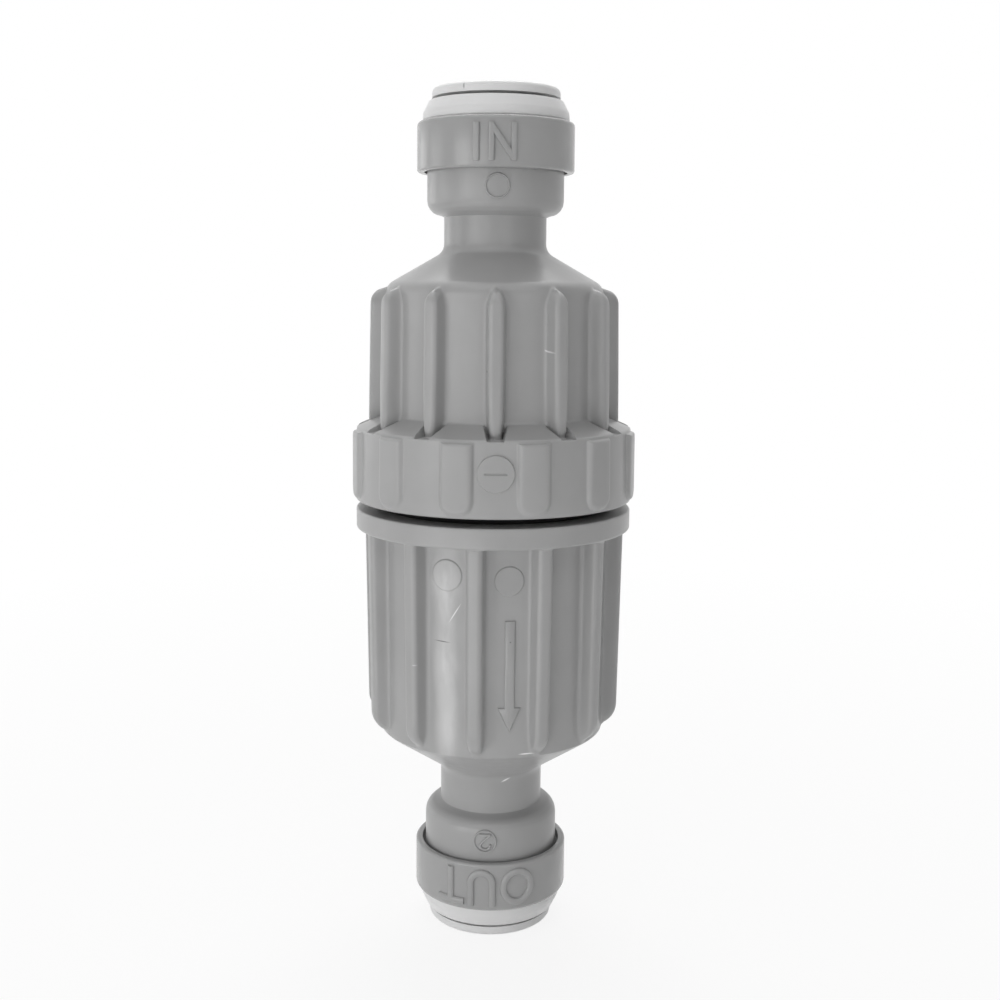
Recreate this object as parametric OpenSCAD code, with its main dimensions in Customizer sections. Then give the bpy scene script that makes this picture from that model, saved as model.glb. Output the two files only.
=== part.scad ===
// Inline strainer for 12 mm tube: two ribbed barrels screwed together round a strainer element,
// with a push-in tube port on each end. It stands on the outlet collet, flow runs from top to bottom.

/* [Tube port] */
// Outside diameter of the tube that pushes into each port
tube_d = 12; // [11:0.5:13]
// Radial clearance between the tube and the collet bore
tube_clear = 0.1; // [0.08:0.02:0.2]
// Wall of the collet sleeve
collet_wall = 1.3; // [1.1:0.1:1.6]
// Radial gap between the collet sleeve and the retainer
collet_gap = 0.35; // [0.3:0.05:0.45]
// Wall of the retainer sleeve
retainer_wall = 1.8; // [1.5:0.1:2.4]
// Radial gap between the retainer sleeve and the socket or the cap
retainer_gap = 0.05; // [0.03:0.01:0.1]
// Wall of the socket at its mouth
socket_wall = 1.6; // [1.3:0.1:2.4]
// Wall of the cap over the socket
cap_wall = 1.65; // [1.3:0.05:2.4]
// Thickness of the collet head
collet_head_t = 1.6; // [1.2:0.1:2.4]
// How far the collet head stands out beyond its sleeve
collet_head_lip = 3.05; // [2.4:0.05:3.4]
// Travel of the collet when it is pressed to free the tube
collet_travel = 0.8; // [0.5:0.1:1]
// Length of the retainer head outside the cap
retainer_head_t = 3; // [2:0.1:4]
// How far the retainer head covers the cap end round its hole
retainer_lip = 2.3; // [1.8:0.1:2.5]
// Thickness of the cap end
cap_end_t = 2; // [1.6:0.1:2.6]
// Length of the cap skirt over the socket
cap_skirt = 6.1; // [5.2:0.1:7]
// Rounding of the cap's outer corner
cap_round = 0.8; // [0.4:0.1:1.2]
// Depth of the plain relief inside the rim of the cap skirt
cap_relief = 1.5; // [0.8:0.1:2]
// Length of the retainer sleeve inside the cap and socket
sleeve_len = 7.6; // [7.2:0.1:8.4]
// Number of fingers on the collet
finger_count = 6; // [5:1:8]
// Width of the slot between two fingers
finger_slot = 0.9; // [0.6:0.1:1.2]
// Thickness of the spacer ring between retainer and tube seal
spacer_t = 1.2; // [0.9:0.1:1.6]
// Cord diameter of the tube seal
tube_seal_cord = 2.5; // [2.2:0.1:2.8]
// Depth of the tube pocket below the tube seal
pocket_depth = 5.8; // [4:0.1:8]
// Diameter of the flow passage in each neck
flow_d = 9.2; // [8:0.1:10]
// Rounding of the socket shoulder above the neck
shoulder_round = 2.4; // [1.6:0.1:2.6]

/* [Outlet half] */
// Diameter of the neck below the outlet barrel
outlet_neck_d = 17.2; // [16.8:0.1:18]
// Length of the outlet neck from the port shoulder to the dome
outlet_neck_len = 6.6; // [5.6:0.1:9]
// Slope of the outlet dome from the horizontal
outlet_dome_angle = 33.5; // [26:0.5:38]
// Diameter of the outlet barrel wall between its ribs
outlet_wall_d = 37.6; // [36.8:0.1:39]
// Length of the outlet barrel from the dome to the flange
outlet_barrel_len = 34.25; // [31:0.25:42]
// Diameter over the outlet ribs at the flange
outlet_rib_d = 43.7; // [41.8:0.1:44.6]
// Rounding of the lower rib ends in side view
outlet_rib_round = 4; // [3:0.1:4.5]
// Turn of the outlet ribs about the axis
outlet_phase = -7.4; // [-15:0.1:15]
// Diameter of the flange under the seam
flange_d = 45.8; // [45:0.1:48]
// Thickness of the flange
flange_t = 3.4; // [2.6:0.1:4.4]

/* [Seam and screw joint] */
// Open seam between the flange and the grip ring when the halves are tight
seam_gap = 1.4; // [1.1:0.1:1.8]
// Core diameter of the screwed spigot
spigot_d = 33.8; // [33.4:0.1:34.2]
// Wall of the spigot
spigot_wall = 1.7; // [1.4:0.1:2]
// Height of the spigot above the flange
spigot_len = 10.8; // [9.6:0.1:11.6]
// Height of the screw thread ridge
thread_depth = 0.8; // [0.6:0.05:0.85]
// Radial gap between each thread and the wall that it faces
thread_gap = 0.3; // [0.25:0.05:0.35]
// Rise of the screw thread in one turn
thread_pitch = 4; // [3.4:0.1:4.4]
// Gap between the flanks of the two threads, along the axis
thread_play = 0.5; // [0.4:0.05:0.7]
// Slope of a thread flank from the horizontal
thread_flank = 30; // [20:1:35]
// Plain length of the spigot below and above its thread
thread_clear = 0.7; // [0.5:0.1:1]
// Height of the thread band in the grip ring
ring_thread_h = 5.6; // [5:0.1:6.2]
// Cord diameter of the body seal
body_seal_cord = 2.6; // [2.3:0.1:2.8]
// Gap kept round the body seal in its counterbore
body_seal_gap = 0.3; // [0.2:0.05:0.4]

/* [Inlet half] */
// Height of the grip ring
ring_h = 12.05; // [11.6:0.05:13]
// Diameter of the grip ring between its pads, at its top
ring_d = 45.6; // [45.2:0.1:47]
// Rounding of the ring's upper outer corner
ring_round = 1.3; // [0.8:0.1:1.6]
// Height that the facets rise from the ring edge to the barrel wall
facet_rise = 2.05; // [1.4:0.05:2.8]
// Diameter of the inlet barrel wall between its ribs, at the dome
inlet_wall_d = 35.8; // [35.4:0.1:37]
// Length of the inlet barrel from the ring to the dome
inlet_barrel_len = 23.25; // [20:0.25:30]
// Diameter over the inlet ribs at the ring
inlet_rib_d = 41.7; // [40.4:0.1:42.6]
// Rounding of the upper rib ends in side view
inlet_rib_round = 2.4; // [2:0.1:3]
// Turn of the inlet ribs about the axis
inlet_phase = 0.8; // [-15:0.1:15]
// Slope of the inlet dome from the horizontal
inlet_dome_angle = 30; // [25:0.5:36]
// Diameter of the neck above the inlet barrel
inlet_neck_d = 16.8; // [16.6:0.1:17.6]
// Length of the inlet neck from the port shoulder to the dome
inlet_neck_len = 5.8; // [5:0.1:9]

/* [Ribs and pads] */
// Number of ribs on each barrel, and of pads on the grip ring
rib_count = 12; // [8:1:14]
// Width of a rib where it meets the wall
rib_root_w = 3; // [2.7:0.1:3.4]
// Width of a rib at its crest
rib_crest_w = 2.5; // [2:0.1:2.6]
// Rounding of the crest's edges
rib_crest_round = 0.8; // [0.4:0.1:0.9]
// Fillet between a rib and the wall
rib_fillet = 0.6; // [0.3:0.1:0.8]
// Width of a pad on the grip ring
pad_w = 5.4; // [4.4:0.1:6.2]
// How far a pad stands out from the ring
pad_rise = 0.8; // [0.5:0.05:1]
// Rounding of a pad's front edges
pad_round = 1.4; // [0.8:0.1:1.6]
// Height of a pad's rounded foot above the lower edge of the ring
pad_foot = 0.4; // [0.3:0.1:1.2]
// Width of the notch round a rib foot, at the barrel wall
notch_in_w = 3.4; // [3.2:0.1:4]
// Width of the notch in front of a rib foot, at the ring edge
notch_out_w = 2.5; // [2.2:0.1:3.2]
// Draft of walls, ribs and pads
draft = 1; // [0.5:0.1:1.2]

/* [Strainer element] */
// Diameter of the flow hole in the strainer collar
basket_d = 22; // [20:0.2:22.4]
// Thickness of the perforated sleeve
mesh_t = 0.5; // [0.4:0.05:0.8]
// Length of the perforated sleeve
mesh_len = 39.5; // [34:0.5:42]
// Thickness of the collar flange on the spigot
collar_t = 1.6; // [1.2:0.1:2]
// Length of the collar skirt round the sleeve
collar_skirt = 5; // [3.6:0.1:6]
// Wall of the collar skirt and of the end cup
holder_wall = 1.3; // [1:0.1:1.6]
// Thickness of the end cup floor
cup_floor = 1.8; // [1.2:0.1:2.4]
// Height of the end cup wall
cup_wall_h = 3.2; // [2.4:0.1:4]
// Rows of holes along the sleeve
hole_rows = 12; // [8:1:12]
// Holes round the sleeve, an even number
hole_columns = 10; // [8:2:10]
// Diameter of each hole in the sleeve
hole_d = 1.9; // [1.2:0.1:2]

/* [Walls] */
// Thickness of the dome walls
dome_wall = 3; // [2.6:0.1:3.4]
// Clearance between the strainer element and the two halves
element_gap = 0.3; // [0.2:0.05:0.5]
// Gap left between two seated pieces of one half
seat_gap = 0.05; // [0.03:0.01:0.1]

/* [Hidden] */
$fn = 96;

// Steps in a quarter of a rounded corner
round_steps = 6;
// Small overlap that keeps cuts and joins clean
eps = 0.01;
// How far cutting shapes reach past what they cut, and added pieces into what carries them
over = 1;
// Small edge breaks on the moulded pieces
edge_break = 0.3;

// Radii of one port, from the tube outward
bore_r = tube_d / 2 + tube_clear;
collet_r = bore_r + collet_wall;
retainer_in_r = collet_r + collet_gap;
retainer_r = retainer_in_r + retainer_wall;
mouth_r = retainer_r + retainer_gap;
socket_r = mouth_r + socket_wall;
cap_r = socket_r + cap_wall;
collet_head_r = collet_r + collet_head_lip;
head_base_r = mouth_r + retainer_lip;
flow_r = flow_d / 2;

// Places along one port, measured inward from the collet end
retainer_s = collet_head_t + collet_travel;
cap_s = retainer_s + retainer_head_t;
mouth_s = cap_s + cap_end_t;
skirt_s = mouth_s + cap_skirt;
sleeve_s = cap_s + sleeve_len;
finger_slot_s = cap_s;
spacer_s = sleeve_s + seat_gap;
spacer_clear = 0.15;
gland_s = spacer_s + spacer_t + seat_gap;
seal_room = 0.4;
shoulder_past_gland = 0.8;
pocket_s = gland_s + tube_seal_cord + seal_room;
stop_s = pocket_s + pocket_depth;
shoulder_s = pocket_s + shoulder_past_gland;
port_len = shoulder_s + shoulder_round;

// Radial gap inside the rim of the cap
relief_gap = 0.5;
// Snap bead on the retainer, held behind the cap end
bead_h = 0.8;
bead_rise = 0.5;
// Collet tip: it swells outward behind the retainer's cone
tip_rise = 0.85;
tip_inset = 1;
tip_lead = 0.5;
tip_len = 1.6;
tip_end_s = sleeve_s - tip_inset;
tip_cone = 1.4;
cone_room = 0.15;
// Rounded shoulder of the retainer head, and the small land above the cap
head_round = 0.8;
head_in = 0.5;
head_sweep = 20;
head_edge = 0.2;
// Rounding of the collet head and lead-in chamfer of its bore
collet_round = 0.8;
bore_lead = 0.6;
tip_s = tip_end_s - tip_len;
// Grip teeth in the collet tip
teeth_t = 0.5;
teeth_depth = 0.75;
teeth_bite = 0.15;
teeth_inset = 1.1;
teeth_slope = 0.1;
teeth_setback = 0.1;
teeth_s = tip_end_s - teeth_inset;

// Heights of the whole object, from the outlet collet end up
outlet_neck_r = outlet_neck_d / 2;
outlet_wall_r = outlet_wall_d / 2;
inlet_neck_r = inlet_neck_d / 2;
inlet_wall_r = inlet_wall_d / 2;
outlet_dome_rise = (outlet_wall_r - outlet_neck_r) * tan(outlet_dome_angle);
inlet_dome_rise = (inlet_wall_r - inlet_neck_r) * tan(inlet_dome_angle);
outlet_dome_z = port_len + outlet_neck_len;
outlet_wall_z = outlet_dome_z + outlet_dome_rise;
flange_z = outlet_wall_z + outlet_barrel_len;
flange_top = flange_z + flange_t;
ring_z = flange_top + seam_gap;
ring_top = ring_z + ring_h;
inlet_wall_top = ring_top + inlet_barrel_len;
inlet_dome_top = inlet_wall_top + inlet_dome_rise;
total_h = inlet_dome_top + inlet_neck_len + port_len;

// Screw joint
spigot_r = spigot_d / 2;
chamber_r = spigot_r - spigot_wall;
spigot_top = flange_top + spigot_len;
seal_land_rise = 0.25;
spigot_lead = 0.5;
seal_land_r = spigot_r + seal_land_rise;
seal_r = seal_land_r + seat_gap + body_seal_cord / 2;
counterbore_r = seal_r + body_seal_cord / 2 + body_seal_gap;
counterbore_z = flange_top + body_seal_cord + body_seal_gap;
ring_bore_r = spigot_r + thread_depth + thread_gap;
collar_top = spigot_top + collar_t;
ring_bore_top = collar_top + element_gap;
ring_r = ring_d / 2;
ring_foot_r = ring_r + ring_h * tan(draft);
ring_sweep = 62;
notch_sink = 0.3;
pad_bed = 0.5;
flange_r = flange_d / 2;

// Ribs
outlet_rib_setback = 0.4;
inlet_rib_setback = 0.5;
inlet_crest_r = inlet_rib_d / 2;
outlet_crest_r = outlet_rib_d / 2;
rib_step = 360 / rib_count;

// Strainer element
sleeve_in_r = basket_d / 2;
sleeve_out_r = sleeve_in_r + mesh_t;
holder_in_r = sleeve_out_r + seat_gap;
holder_out_r = holder_in_r + holder_wall;
collar_inset = 0.1;
collar_lead = 0.6;
cup_lead = 0.8;
collar_r = spigot_r - collar_inset;
mesh_top = spigot_top - seat_gap;
mesh_z = mesh_top - mesh_len;
cup_z = mesh_z - seat_gap - cup_floor;
hole_margin = 1;
hole_band = mesh_len - collar_skirt - cup_wall_h - 2 * hole_margin;
hole_pitch = hole_band / hole_rows;
hole_z = mesh_z + cup_wall_h + hole_margin + hole_pitch / 2;

body_grey = [0.60, 0.60, 0.60];
cap_grey = [0.56, 0.56, 0.56];
collet_white = [0.90, 0.90, 0.89];
rubber_black = [0.08, 0.08, 0.08];
steel = [0.74, 0.74, 0.75];
spacer_grey = [0.80, 0.80, 0.79];

// Points of an arc of radius r about [x, y], from angle a to angle b
function arc(x, y, r, a, b) =
    [for (i = [0 : round_steps]) let (t = a + (b - a) * i / round_steps) [x + r * cos(t), y + r * sin(t)]];

// Places a port piece, drawn along +Z from the collet end, at the outlet or the inlet
module at_outlet() { children(); }
module at_inlet() { translate([0, 0, total_h]) rotate([180, 0, 0]) children(); }

// Copies of children all round the axis
module around(count, phase) {
    for (i = [0 : count - 1]) rotate([0, 0, phase - 90 + i * 360 / count]) children();
}

// Outer outline of a port from the mouth to the neck, in port places
shoulder_sweep = 78;
function port_outline(neck_r) = concat(
    [[bead_pocket_r, mouth_s], [socket_r, mouth_s]],
    arc(socket_r - shoulder_round, shoulder_s, shoulder_round, 0, shoulder_sweep),
    [[neck_r, port_len + edge_break]]);

// Inner outline of a port from the flow passage back to the mouth, in port places
function port_bores() = [
    [flow_r, stop_s], [bore_r, stop_s], [bore_r, pocket_s],
    [gland_r, pocket_s], [gland_r, gland_s], [mouth_r, gland_s],
    [mouth_r, mouth_s + bead_h + 3 * edge_break], [bead_pocket_r, mouth_s + bead_h + edge_break]];
gland_r = bore_r + tube_seal_cord;
bead_pocket_r = retainer_r + bead_rise + retainer_gap;

// The same outline turned over for the inlet end
function flipped(points) = [for (i = [len(points) - 1 : -1 : 0]) [points[i][0], total_h - points[i][1]]];

// Concave fillet between a vertical neck and a dome that slopes away from it
neck_fillet = 2;
function neck_to_dome(neck_r, angle) =
    let (b = 90 - angle, d = neck_fillet * tan(b / 2))
    [for (i = [0 : round_steps]) let (t = b * i / round_steps)
        [neck_r + neck_fillet - neck_fillet * cos(t), -d + neck_fillet * sin(t)]];

// Rounded corner between a dome and the barrel wall
wall_round = 0.8;
function dome_to_wall(wall_r, angle) =
    let (b = 90 - angle, d = wall_round * tan(b / 2))
    [for (i = [0 : round_steps]) let (t = b - b * i / round_steps)
        [wall_r - wall_round + wall_round * cos(t), d - wall_round * sin(t)]];

// Section of a rib at +X: filleted into a wall of radius wall_r, sides with draft, rounded crest edges
module rib_section(crest_r, wall_r) {
    crest_half = rib_crest_w / 2;
    root_half = rib_root_w / 2;
    e = rib_crest_round;
    f = rib_fillet;
    foot_x = sqrt(wall_r * wall_r - (root_half + f) * (root_half + f));
    side = concat(
        [[wall_r - over, 0], [wall_r - over, root_half + f]],
        arc(foot_x + f, root_half + f, f, 180, 270),
        arc(crest_r - e, crest_half - e, e, 90, 0));
    polygon(concat(side, [for (i = [len(side) - 1 : -1 : 1]) [side[i][0], -side[i][1]]]));
}

// One rib, standing at +X: a straight length below z = 0 and a rounded end above it.
// The crest lies at crest_r where the rounded end begins, and leans outward away from it.
module rib(crest_r, wall_r, length, end_round) {
    translate([crest_r, 0, 0]) rotate([0, -draft, 0]) translate([-crest_r, 0, 0]) {
        translate([0, 0, -length]) linear_extrude(length) rib_section(crest_r, wall_r);
        translate([crest_r - end_round, 0, 0]) rotate([90, 0, 0]) rotate_extrude(angle = 90) intersection() {
            translate([end_round - crest_r, 0]) rib_section(crest_r, wall_r);
            translate([0, -rib_root_w]) square([end_round + eps, 2 * rib_root_w]);
        }
    }
}

// Helical ridge of the screw joint, right-handed, from height z0 to z1, on a wall of radius base_r.
// It stands out to tip_r, or in if that is smaller, runs out at both ends and passes +X at height ref_z.
module thread_ridge(base_r, tip_r, z0, z1, ref_z) {
    side = tip_r > base_r ? 1 : -1;
    half = thread_pitch / 4 - thread_play / 2;
    lean = thread_depth / 2 * tan(thread_flank);
    sink_r = base_r - side * edge_break;
    run_r = base_r - side * edge_break / 2;
    low = z0 + half + lean;
    steps = ceil((z1 - z0 - 2 * half - 2 * lean) / thread_pitch * thread_steps);
    points = [for (i = [0 : steps])
        let (z = low + i * thread_pitch / thread_steps, a = (z - ref_z) / thread_pitch * 360,
             h = min(1, i / run_steps, (steps - i) / run_steps), r = run_r + (tip_r - run_r) * h)
        each [for (c = [[sink_r, -half - lean], [r, -half - lean + 2 * lean * h],
                        [r, half + lean - 2 * lean * h], [sink_r, half + lean]])
            [c[0] * cos(a), c[0] * sin(a), z + c[1]]]];
    sides = [for (i = [0 : steps - 1], k = [0 : 3])
        let (p = 4 * i + k, q = 4 * i + (k + 1) % 4) [p, q, q + 4, p + 4]];
    ends = [[3, 2, 1, 0], [for (k = [0 : 3]) 4 * steps + k]];
    faces = concat(sides, ends);
    polyhedron(points, side > 0 ? faces : [for (f = faces) [for (k = [3 : -1 : 0]) f[k]]], convexity = 4);
}
thread_steps = 40;
run_steps = 4;

// Lower moulding: port, neck, dome, ribbed barrel, flange and screwed spigot
module outlet_body() {
    wall_in_z = outlet_wall_z + dome_wall / cos(outlet_dome_angle);
    funnel_drop = (chamber_r - flow_r) * tan(outlet_dome_angle);
    funnel_z = wall_in_z - (outlet_wall_r - chamber_r) * tan(outlet_dome_angle);
    outline = concat(
        port_outline(outlet_neck_r),
        [for (p = neck_to_dome(outlet_neck_r, outlet_dome_angle)) [p[0], outlet_dome_z + p[1]]],
        [for (p = dome_to_wall(outlet_wall_r, outlet_dome_angle)) [p[0], outlet_wall_z + p[1]]],
        [[outlet_wall_r + outlet_barrel_len * tan(draft) / 2, flange_z],
         [flange_r - edge_break, flange_z], [flange_r, flange_z + edge_break],
         [flange_r, flange_top - edge_break], [flange_r - edge_break, flange_top],
         [seal_land_r, flange_top], [seal_land_r, counterbore_z],
         [spigot_r, counterbore_z + edge_break], [spigot_r, spigot_top - spigot_lead],
         [spigot_r - spigot_lead, spigot_top], [chamber_r, spigot_top],
         [chamber_r, funnel_z], [flow_r, funnel_z - funnel_drop]],
        port_bores());
    rib_end_z = outlet_wall_z + outlet_rib_round + outlet_rib_setback;
    rib_len = flange_z - rib_end_z + flange_t / 2;
    crest_r = outlet_crest_r - (flange_z - rib_end_z) * tan(draft);
    color(body_grey) {
        rotate_extrude() polygon(outline);
        around(rib_count, outlet_phase) translate([0, 0, rib_end_z]) mirror([0, 0, 1])
            rib(crest_r, outlet_wall_r, rib_len, outlet_rib_round);
        thread_ridge(spigot_r, spigot_r + thread_depth, counterbore_z + thread_clear,
                     spigot_top - thread_clear, flange_top);
    }
}

// Upper moulding: grip ring with pads, ribbed barrel, dome, neck and port
module inlet_body() {
    foot_r = inlet_wall_r + inlet_barrel_len * tan(draft) / 2;
    wall_in_z = inlet_wall_top - dome_wall / cos(inlet_dome_angle);
    in_r = chamber_r - element_gap;
    vault_z = wall_in_z + (inlet_wall_r - in_r) * tan(inlet_dome_angle);
    vault_top = vault_z + (in_r - flow_r) * tan(inlet_dome_angle);
    dome_points = [for (p = dome_to_wall(inlet_wall_r, inlet_dome_angle)) [p[0], -p[1]]];
    outline = concat(
        flipped(port_bores()),
        [[flow_r, vault_top], [in_r, vault_z], [in_r, ring_bore_top],
         [ring_bore_r, ring_bore_top], [ring_bore_r, counterbore_z],
         [counterbore_r, counterbore_z], [counterbore_r, ring_z],
         [ring_foot_r - edge_break, ring_z], [ring_foot_r, ring_z + edge_break]],
        arc(ring_r - ring_round, ring_top - ring_round, ring_round, 0, ring_sweep),
        [[foot_r, ring_top + facet_rise]],
        [for (i = [len(dome_points) - 1 : -1 : 0]) [dome_points[i][0], inlet_wall_top + dome_points[i][1]]],
        [for (i = [round_steps : -1 : 0]) let (p = neck_to_dome(inlet_neck_r, inlet_dome_angle)[i])
            [p[0], inlet_dome_top - p[1]]],
        flipped(port_outline(inlet_neck_r)));
    notch_floor = ring_top - notch_sink;
    rib_end_z = inlet_wall_top - inlet_rib_setback - inlet_rib_round;
    rib_len = rib_end_z - notch_floor + over;
    crest_r = inlet_crest_r - (rib_end_z - ring_top) * tan(draft);
    color(body_grey) {
        difference() {
            rotate_extrude() polygon(outline);
            around(rib_count, inlet_phase) translate([0, 0, notch_floor]) linear_extrude(facet_rise + over)
                polygon([[foot_r, -notch_in_w / 2], [ring_r + over, -notch_out_w / 2],
                         [ring_r + over, notch_out_w / 2], [foot_r, notch_in_w / 2]]);
        }
        around(rib_count, inlet_phase) translate([0, 0, rib_end_z])
            rib(crest_r, inlet_wall_r, rib_len, inlet_rib_round);
        around(rib_count, inlet_phase + rib_step / 2) grip_pad();
        thread_ridge(ring_bore_r, ring_bore_r - thread_depth, counterbore_z + thread_clear,
                     counterbore_z + thread_clear + ring_thread_h, flange_top + thread_pitch / 2);
    }
}

// One pad of the grip ring, at +X: a flat front with rounded edges and a rounded foot.
// Its top follows the rounding of the ring's upper edge.
module grip_pad() {
    half = pad_w / 2;
    face_r = ring_foot_r + pad_rise;
    foot_z = ring_z + pad_foot + half;
    back_r = counterbore_r + pad_bed;
    top_r = ring_r + pad_rise - ring_round;
    top_z = ring_top - ring_round - pad_rise * tan(90 - ring_sweep);
    edge = arc(face_r - pad_round, half - pad_round, pad_round, 0, 90);
    intersection() {
        translate([0, 0, foot_z]) rotate([0, -draft, 0]) {
            linear_extrude(ring_h) polygon(concat(
                edge, [[back_r - over, half], [back_r - over, -half]],
                [for (i = [len(edge) - 1 : -1 : 0]) [edge[i][0], -edge[i][1]]]));
            rotate([0, 90, 0]) rotate_extrude() polygon(concat(
                [[0, face_r]], [for (p = edge) [p[1], p[0]]], [[half, back_r - over], [0, back_r - over]]));
        }
        rotate_extrude() polygon(concat(
            [[back_r, ring_z + edge_break], [face_r + over, ring_z + edge_break]],
            [[face_r + over, top_z]], arc(top_r, top_z, ring_round, 0, ring_sweep), [[back_r, top_z]]));
    }
}

// Rubber ring between the flange and the grip ring
module body_seal() {
    color(rubber_black) translate([0, 0, flange_top + body_seal_cord / 2])
        rotate_extrude() translate([seal_r, 0]) circle(body_seal_cord / 2, $fn = 32);
}

// Collar that hangs the sleeve from the spigot's rim
module strainer_collar() {
    color(collet_white) rotate_extrude() polygon([
        [sleeve_in_r, mesh_top + seat_gap], [holder_in_r, mesh_top + seat_gap],
        [holder_in_r, spigot_top - collar_skirt], [holder_out_r - edge_break, spigot_top - collar_skirt],
        [holder_out_r, spigot_top - collar_skirt + edge_break], [holder_out_r, spigot_top],
        [collar_r, spigot_top], [collar_r, collar_top - edge_break], [collar_r - edge_break, collar_top],
        [sleeve_in_r + collar_lead, collar_top], [sleeve_in_r, collar_top - collar_lead]]);
}

// Perforated steel sleeve of the strainer
module strainer_mesh() {
    color(steel) difference() {
        translate([0, 0, mesh_z]) cylinder(r = sleeve_out_r, h = mesh_len);
        translate([0, 0, mesh_z - over]) cylinder(r = sleeve_in_r, h = mesh_len + 2 * over);
        for (row = [0 : hole_rows - 1], col = [0 : hole_columns - 1])
            translate([0, 0, hole_z + row * hole_pitch])
                rotate([0, 90, (col + (row % 2) / 2) * 360 / hole_columns])
                    translate([0, 0, sleeve_in_r - over]) cylinder(d = hole_d, h = mesh_t + 2 * over, $fn = 24);
    }
}

// Cup that closes the lower end of the sleeve
module strainer_end_cap() {
    color(collet_white) rotate_extrude() polygon([
        [0, cup_z], [holder_out_r - cup_lead, cup_z], [holder_out_r, cup_z + cup_lead],
        [holder_out_r, mesh_z + cup_wall_h], [holder_in_r, mesh_z + cup_wall_h],
        [holder_in_r, mesh_z - seat_gap], [0, mesh_z - seat_gap]]);
}

// Cap: grey ring pressed over the socket, its end wall traps the retainer
module port_cap() {
    color(cap_grey) rotate_extrude() polygon(concat(
        [[mouth_r, cap_s]],
        arc(cap_r - cap_round, cap_s + cap_round, cap_round, -90, 0),
        [[cap_r, skirt_s - edge_break], [cap_r - edge_break, skirt_s],
         [socket_r + relief_gap, skirt_s], [socket_r + relief_gap, skirt_s - cap_relief + edge_break],
         [socket_r, skirt_s - cap_relief], [socket_r, mouth_s], [mouth_r, mouth_s]]));
}

// Retainer: white flanged sleeve with the inner cone that squeezes the collet
module port_retainer() {
    head_top_r = collet_head_r + seat_gap;
    cone_s = tip_s - tip_cone - collet_gap;
    cone_out_r = retainer_in_r + tip_rise + cone_room;
    color(collet_white) rotate_extrude() polygon(concat(
        [[retainer_in_r, retainer_s]],
        arc(head_top_r - head_in, retainer_s + head_round, head_round, -90, -head_sweep),
        [[head_base_r, cap_s - head_edge], [head_base_r, cap_s],
         [retainer_r, cap_s], [retainer_r, mouth_s + seat_gap],
         [retainer_r + bead_rise, mouth_s + seat_gap], [retainer_r + bead_rise, mouth_s + bead_h / 2],
         [retainer_r, mouth_s + bead_h], [retainer_r, sleeve_s],
         [cone_out_r, sleeve_s], [cone_out_r, cone_s + tip_cone], [retainer_in_r, cone_s]]));
}

// Collet: white sleeve with a head to press and sprung fingers that hold the tube
module port_collet() {
    groove_r = bore_r + teeth_depth;
    color(collet_white) difference() {
        rotate_extrude() polygon(concat(
            [[bore_r, tip_end_s], [bore_r, teeth_s + teeth_t], [groove_r, teeth_s + teeth_t],
             [groove_r, teeth_s], [bore_r, teeth_s], [bore_r, bore_lead], [bore_r + bore_lead, 0]],
            arc(collet_head_r - collet_round, collet_round, collet_round, -90, 0),
            [[collet_head_r, collet_head_t],
             [collet_r, collet_head_t], [collet_r, tip_s - tip_cone],
             [collet_r + tip_rise, tip_s], [collet_r + tip_rise, tip_end_s - tip_lead],
             [collet_r + tip_rise - tip_lead, tip_end_s]]));
        for (i = [0 : finger_count - 1]) rotate([0, 0, i * 360 / finger_count])
            translate([0, -finger_slot / 2, finger_slot_s])
                cube([collet_r + tip_rise + over, finger_slot, sleeve_s]);
    }
}

// Steel grip teeth, one blade in the tip of each finger
module port_teeth() {
    root_r = bore_r + teeth_depth;
    slot = finger_slot + 2 * teeth_setback;
    color(steel) difference() {
        rotate_extrude() polygon([
            [bore_r - teeth_bite, teeth_s + teeth_t], [bore_r + teeth_slope, teeth_s],
            [root_r, teeth_s], [root_r, teeth_s + teeth_t]]);
        for (i = [0 : finger_count - 1]) rotate([0, 0, i * 360 / finger_count])
            translate([0, -slot / 2, teeth_s - over]) cube([root_r + over, slot, teeth_t + 2 * over]);
    }
}

// Spacer ring between the retainer and the tube seal
module port_spacer() {
    color(spacer_grey) difference() {
        translate([0, 0, spacer_s]) cylinder(r = mouth_r - retainer_gap, h = spacer_t);
        translate([0, 0, spacer_s - over]) cylinder(r = bore_r + spacer_clear, h = spacer_t + 2 * over);
    }
}

// Rubber ring that seals the tube
module port_tube_seal() {
    color(rubber_black) translate([0, 0, gland_s + tube_seal_cord / 2 + seat_gap])
        rotate_extrude() translate([bore_r + tube_seal_cord / 2 - seat_gap, 0])
            circle(tube_seal_cord / 2 - seat_gap / 2, $fn = 32);
}

module outlet_cap() { at_outlet() port_cap(); }
module inlet_cap() { at_inlet() port_cap(); }
module outlet_retainer() { at_outlet() port_retainer(); }
module inlet_retainer() { at_inlet() port_retainer(); }
module outlet_collet() { at_outlet() port_collet(); }
module inlet_collet() { at_inlet() port_collet(); }
module outlet_collet_teeth() { at_outlet() port_teeth(); }
module inlet_collet_teeth() { at_inlet() port_teeth(); }
module outlet_spacer() { at_outlet() port_spacer(); }
module inlet_spacer() { at_inlet() port_spacer(); }
module outlet_tube_seal() { at_outlet() port_tube_seal(); }
module inlet_tube_seal() { at_inlet() port_tube_seal(); }

outlet_body();
inlet_body();
body_seal();
strainer_collar();
strainer_mesh();
strainer_end_cap();
outlet_cap();
inlet_cap();
outlet_retainer();
inlet_retainer();
outlet_collet();
inlet_collet();
outlet_collet_teeth();
inlet_collet_teeth();
outlet_spacer();
inlet_spacer();
outlet_tube_seal();
inlet_tube_seal();
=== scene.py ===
import math

import bmesh
import bpy
import numpy as np
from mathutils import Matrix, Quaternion, Vector


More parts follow.
